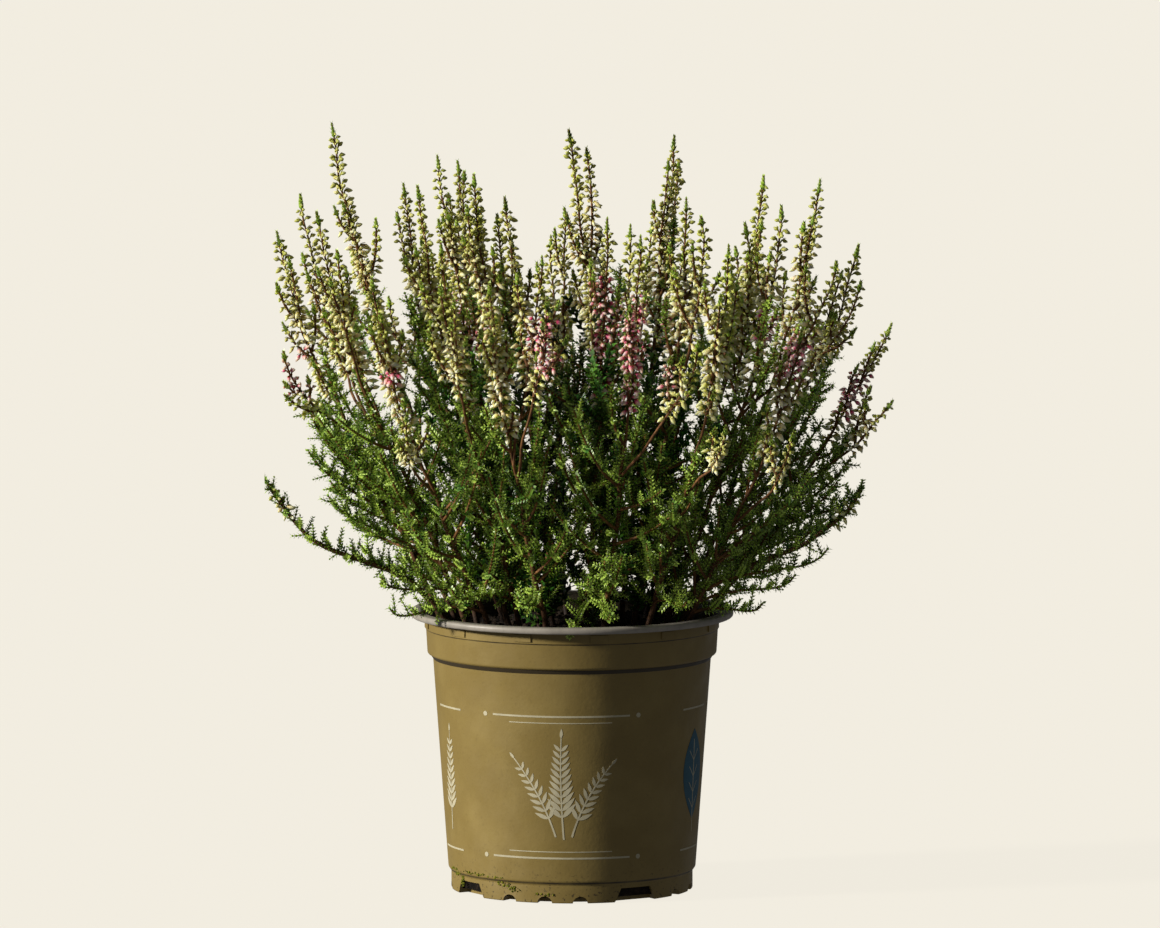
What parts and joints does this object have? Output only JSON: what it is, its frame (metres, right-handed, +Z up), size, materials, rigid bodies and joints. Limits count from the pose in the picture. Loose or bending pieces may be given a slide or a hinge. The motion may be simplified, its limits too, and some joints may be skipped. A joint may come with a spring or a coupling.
{
  "type": "potted heather",
  "caption": "Flowering heather in a round nursery pot: upright spikes of small cream and pink buds over dense scale-leaved foliage, rooted in soil.",
  "frame": {"origin": "on the pot's axis, in the plane of its foot", "axes": "+Z up along the pot's axis; the front seen in the picture faces -Y; +X to the right"},
  "size_m": [0.2321, 0.2055, 0.2855],
  "materials": {
    "pot_plastic": "satin",
    "soil": "matte",
    "foliage": "matte",
    "woody_stem": "matte",
    "cream_buds": "matte",
    "pink_buds": "matte"
  },
  "bodies": {
    "root": {"pot": "pot_plastic", "soil": "soil", "leafy_stem_01": "foliage", "leafy_stem_02": "foliage", "leafy_stem_03": "foliage", "leafy_stem_04": "foliage", "leafy_stem_05": "foliage", "leafy_stem_06": "foliage", "leafy_stem_07": "foliage", "leafy_stem_08": "foliage", "leafy_stem_09": "foliage", "leafy_stem_10": "foliage", "leafy_stem_11": "foliage", "leafy_stem_12": "foliage", "leafy_stem_13": "foliage", "leafy_stem_14": "foliage", "leafy_stem_15": "foliage", "leafy_stem_16": "foliage", "leafy_stem_17": "foliage", "leafy_stem_18": "foliage", "leafy_stem_19": "foliage", "leafy_stem_20": "foliage", "leafy_stem_21": "foliage", "leafy_stem_22": "foliage", "leafy_stem_23": "foliage", "leafy_stem_24": "foliage", "leafy_stem_25": "foliage", "leafy_stem_26": "foliage", "leafy_stem_27": "foliage", "leafy_stem_28": "foliage", "arching_branch_left": "foliage", "arching_branch_right": "foliage", "flower_head_01": "cream_buds", "flower_head_02": "cream_buds", "flower_head_03": "cream_buds", "flower_head_04": "cream_buds", "flower_head_05": "cream_buds", "flower_head_06": "cream_buds", "flower_head_07": "cream_buds", "flower_head_08": "cream_buds", "flower_head_09": "cream_buds", "flower_head_10": "cream_buds", "flower_head_11": "cream_buds", "flower_head_12": "cream_buds", "flower_head_13": "cream_buds", "flower_head_14": "cream_buds", "flower_head_15": "pink_buds", "flower_head_16": "pink_buds", "flower_head_17": "cream_buds", "flower_head_18": "cream_buds", "flower_head_19": "cream_buds", "flower_head_20": "pink_buds", "flower_head_21": "cream_buds", "flower_head_22": "cream_buds", "flower_head_23": "cream_buds", "flower_head_24": "cream_buds", "flower_head_25": "cream_buds", "flower_head_26": "cream_buds", "flower_head_27": "cream_buds", "flower_head_28": "cream_buds"}
  },
  "joints": []
}
